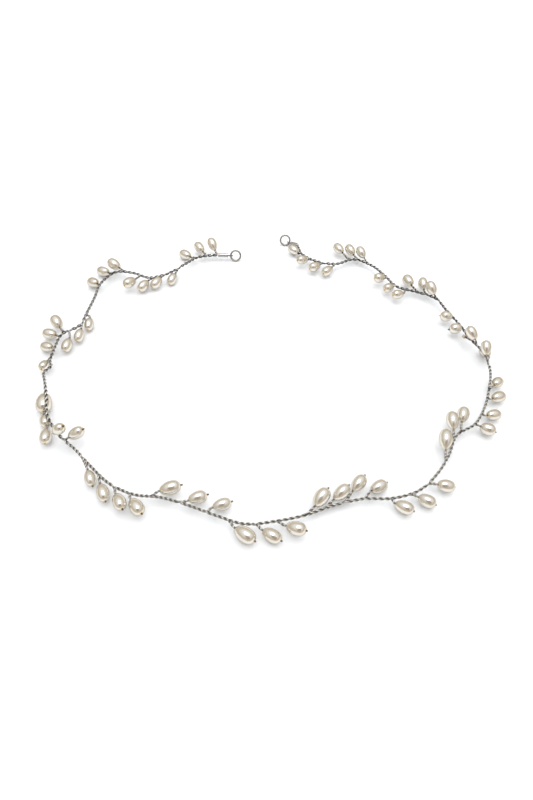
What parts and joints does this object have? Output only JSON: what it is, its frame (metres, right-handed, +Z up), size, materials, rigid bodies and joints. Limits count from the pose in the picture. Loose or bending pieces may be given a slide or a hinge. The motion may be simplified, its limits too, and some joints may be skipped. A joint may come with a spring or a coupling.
{
  "type": "hair vine",
  "caption": "Hair vine: a twisted silver wire bent into an open crown, with pearls on short stems in sprays and a small ring at each end for pins or ribbon.",
  "frame": {"origin": "middle of the vine's outline, at the table under its lowest pearls", "axes": "+X to the right and +Y away from the viewer in the picture, +Z up from the table; the open end between the two rings is at +Y"},
  "size_m": [0.1956, 0.1764, 0.0112],
  "materials": {
    "silver_wire": "satin silver plate, twisted strands",
    "crimp": "bright silver plate",
    "pearl": "pearl lustre, ivory white"
  },
  "bodies": {
    "root": {"vine_wire": "silver_wire", "crimp_left": "crimp", "crimp_right": "crimp", "end_ring_left": "silver_wire", "end_ring_right": "silver_wire", "pearls_left_1": "pearl", "pearls_left_2": "pearl", "pearls_left_3": "pearl", "pearls_left_4": "pearl", "pearls_left_5": "pearl", "pearls_left_6": "pearl", "pearls_left_7": "pearl", "pearls_front_1": "pearl", "pearls_front_2": "pearl", "pearls_front_3": "pearl", "pearls_front_4": "pearl", "pearls_front_5": "pearl", "pearls_right_1": "pearl", "pearls_right_2": "pearl", "pearls_right_3": "pearl", "pearls_right_4": "pearl", "pearls_right_5": "pearl", "pearls_right_6": "pearl", "pearls_right_7": "pearl", "pearls_right_8": "pearl"}
  },
  "joints": []
}
